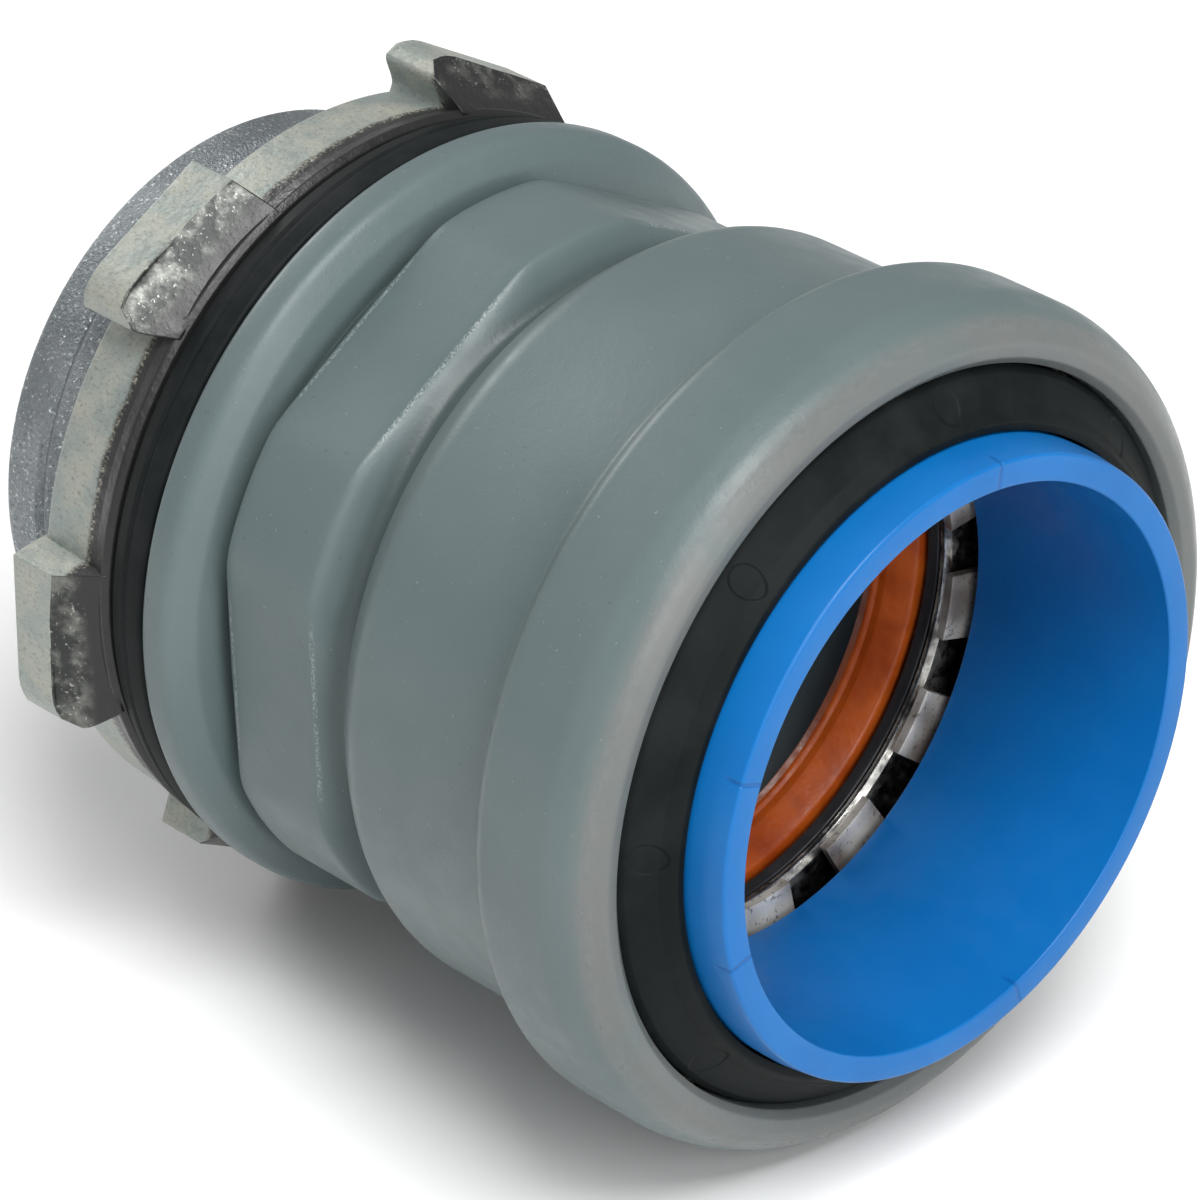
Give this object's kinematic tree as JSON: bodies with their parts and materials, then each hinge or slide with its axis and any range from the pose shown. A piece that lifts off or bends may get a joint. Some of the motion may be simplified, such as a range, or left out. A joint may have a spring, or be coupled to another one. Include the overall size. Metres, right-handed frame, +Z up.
{
  "type": "push-in conduit connector",
  "caption": "Round push-in connector that joins a thin-wall conduit to a box: grey casting, blue release collar, inner seal and grip ring, threaded nipple, gasket and lugged locknut.",
  "frame": {"origin": "on the fitting's axis, in the plane of the casting's flange face that the sealing gasket bears on", "axes": "+X along the axis out of the conduit mouth, -X into the box through the knockout, +Z up"},
  "size_m": [0.042, 0.0374, 0.0368],
  "materials": {
    "grey_coating": "satin grey coating over a zinc die casting, faint speckle",
    "zinc_plate": "dull zinc plate with a faint green-yellow passivate, grainy as cast",
    "black_rubber": "matt black moulded rubber",
    "orange_silicone": "satin orange-brown silicone",
    "dark_nylon": "matt dark moulded nylon",
    "spring_steel": "stamped stainless strip, scuffed bright",
    "blue_plastic": "satin blue moulded plastic"
  },
  "bodies": {
    "fitting": {"body_casting": "grey_coating", "conduit_seal": "orange_silicone", "backup_washer": "dark_nylon", "spacer_ring": "spring_steel", "grip_ring": "spring_steel", "grip_ring_holder": "dark_nylon", "collar_retaining_ring": "spring_steel", "weather_seal": "black_rubber"},
    "gasket": {"box_sealing_gasket": "black_rubber"},
    "locknut": {"locknut": "zinc_plate"},
    "release_collar": {"release_collar": "blue_plastic"}
  },
  "joints": [
    {"name": "nut_turn", "type": "hinge", "parent": "fitting", "child": "gasket", "pos_m": [0, 0, 0], "axis": [-1, 0, 0], "range_deg": [0, 1080]},
    {"name": "nut_travel", "type": "slide", "parent": "gasket", "child": "locknut", "axis": [-1, 0, 0], "range_m": [0, 0.00544]},
    {"name": "collar_release", "type": "slide", "parent": "fitting", "child": "release_collar", "axis": [-1, 0, 0], "range_m": [0, 0.0008], "stiffness_N_per_m": 2000, "springref_m": -0.001, "deforming": ["grip_ring"]}
  ],
  "couplings": [
    {"joint": "nut_turn", "follows": "nut_travel", "rad_per_m": 3463.2}
  ]
}
